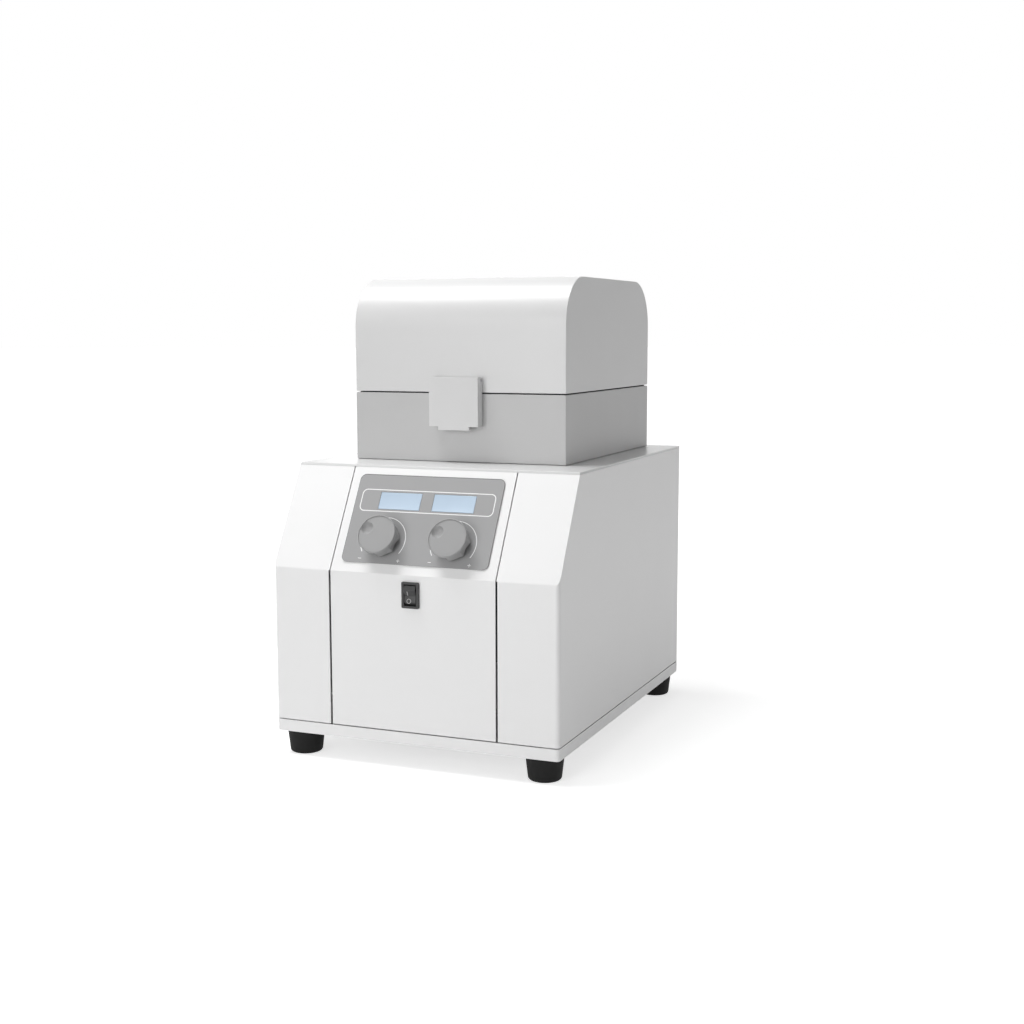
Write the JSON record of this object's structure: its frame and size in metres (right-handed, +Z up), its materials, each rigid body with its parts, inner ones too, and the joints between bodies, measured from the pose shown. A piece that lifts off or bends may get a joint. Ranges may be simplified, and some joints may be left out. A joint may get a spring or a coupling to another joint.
{
  "type": "tissue grinder",
  "caption": "Bench-top tissue grinder: sloped control panel with two dials and displays, hinged and latched chamber lid, and a motor-driven rocking plate with open tube slots inside.",
  "frame": {"origin": "on the table, under the middle of the housing's footprint", "axes": "+X to the user's right, +Y to the back, +Z up; the control panel faces -Y"},
  "size_m": [0.25, 0.3402, 0.3935],
  "materials": {
    "housing_paint": "satin white powder coat",
    "chamber_plastic": "satin off-white moulded plastic",
    "latch_plastic": "satin light grey moulded plastic",
    "overlay_film": "matt grey printed film",
    "knob_plastic": "matt grey moulded plastic",
    "display_window": "pale blue lit display behind a clear window",
    "switch_plastic": "dark grey moulded plastic",
    "black_plastic": "black moulded plastic",
    "rubber": "black rubber",
    "circuit_board": "green solder mask",
    "steel": "ground steel",
    "motor_steel": "black painted can",
    "aluminium": "machined aluminium",
    "zinc_steel": "zinc-plated sheet",
    "brass": "bare brass"
  },
  "bodies": {
    "housing": {"base_tray": "housing_paint", "left_side_cover": "housing_paint", "right_side_cover": "housing_paint", "front_panel": "housing_paint", "rear_panel": "housing_paint", "top_plate": "housing_paint", "front_left_foot": "rubber", "front_right_foot": "rubber", "rear_left_foot": "rubber", "rear_right_foot": "rubber", "control_overlay": "overlay_film", "control_board": "circuit_board", "left_display": "display_window", "right_display": "display_window", "left_encoder_body": "black_plastic", "right_encoder_body": "black_plastic", "switch_body": "switch_plastic", "chamber_body": "chamber_plastic", "lid_gasket": "rubber", "left_hinge_lower_leaf": "chamber_plastic", "right_hinge_lower_leaf": "chamber_plastic", "left_hinge_pin": "steel", "right_hinge_pin": "steel", "latch_strike": "zinc_steel", "drive_stand": "zinc_steel", "motor_body": "motor_steel", "spindle_housing": "aluminium", "lower_bearing": "steel", "upper_bearing": "steel", "floor_seal": "rubber", "anti_turn_fork": "zinc_steel", "power_inlet": "black_plastic", "fan_frame": "black_plastic", "fan_guard": "steel", "power_supply": "zinc_steel", "motor_driver": "aluminium"},
    "lid": {"lid_shell": "chamber_plastic", "left_hinge_upper_leaf": "chamber_plastic", "right_hinge_upper_leaf": "chamber_plastic", "latch_bracket": "latch_plastic", "latch_pin": "steel"},
    "latch": {"latch_lever": "latch_plastic"},
    "left_rotor": {"left_encoder_rotor": "brass"},
    "left_dial": {"left_encoder_shaft": "aluminium", "left_knob": "knob_plastic"},
    "right_rotor": {"right_encoder_rotor": "brass"},
    "right_dial": {"right_encoder_shaft": "aluminium", "right_knob": "knob_plastic"},
    "rocker": {"switch_rocker": "switch_plastic"},
    "drive_spindle": {"motor_shaft": "steel", "shaft_coupling": "aluminium", "spindle": "steel", "inclined_hub": "steel"},
    "rocking_head": {"hub_bearing": "steel", "tube_plate": "aluminium", "anti_turn_pin": "steel", "clamp_stud": "steel", "tube_cover": "aluminium"},
    "clamp": {"clamp_knob": "black_plastic"},
    "fan_wheel": {"fan_rotor": "black_plastic"}
  },
  "joints": [
    {"name": "lid_hinge", "type": "hinge", "parent": "housing", "child": "lid", "pos_m": [0, 0.1558, 0.2975], "axis": [-1, 0, 0], "range_deg": [0, 95]},
    {"name": "latch_pivot", "type": "hinge", "parent": "lid", "child": "latch", "pos_m": [0, -0.0755, 0.3084], "axis": [-1, 0, 0], "range_deg": [0, 90]},
    {"name": "left_dial_turn", "type": "hinge", "parent": "housing", "child": "left_rotor", "pos_m": [-0.031, -0.15094, 0.18196], "axis": [0, -0.8679, 0.4968], "continuous": true},
    {"name": "left_dial_push", "type": "slide", "parent": "left_rotor", "child": "left_dial", "axis": [0, 0.8679, -0.4968], "range_m": [0, 0.001], "stiffness_N_per_m": 900, "springref_m": -0.002},
    {"name": "right_dial_turn", "type": "hinge", "parent": "housing", "child": "right_rotor", "pos_m": [0.031, -0.15094, 0.18196], "axis": [0, -0.8679, 0.4968], "continuous": true},
    {"name": "right_dial_push", "type": "slide", "parent": "right_rotor", "child": "right_dial", "axis": [0, 0.8679, -0.4968], "range_m": [0, 0.001], "stiffness_N_per_m": 900, "springref_m": -0.002},
    {"name": "power_rocker", "type": "hinge", "parent": "housing", "child": "rocker", "pos_m": [0, -0.1636, 0.1419], "axis": [-1, 0, 0], "range_deg": [0, 18]},
    {"name": "spindle_spin", "type": "hinge", "parent": "housing", "child": "drive_spindle", "pos_m": [0, 0.0395, 0.2], "axis": [0, 0, 1], "continuous": true},
    {"name": "head_rock", "type": "hinge", "parent": "drive_spindle", "child": "rocking_head", "pos_m": [0, 0.0395, 0.292], "axis": [0, -0.1045, 0.9945], "continuous": true},
    {"name": "clamp_turn", "type": "hinge", "parent": "rocking_head", "child": "clamp", "pos_m": [0, 0.0395, 0.292], "axis": [0, -0.1045, 0.9945], "continuous": true},
    {"name": "fan_spin", "type": "hinge", "parent": "housing", "child": "fan_wheel", "pos_m": [0, 0.15, 0.15], "axis": [0, 1, 0], "continuous": true}
  ],
  "couplings": [
    {"joint": "head_rock", "follows": "spindle_spin", "ratio": -1}
  ]
}
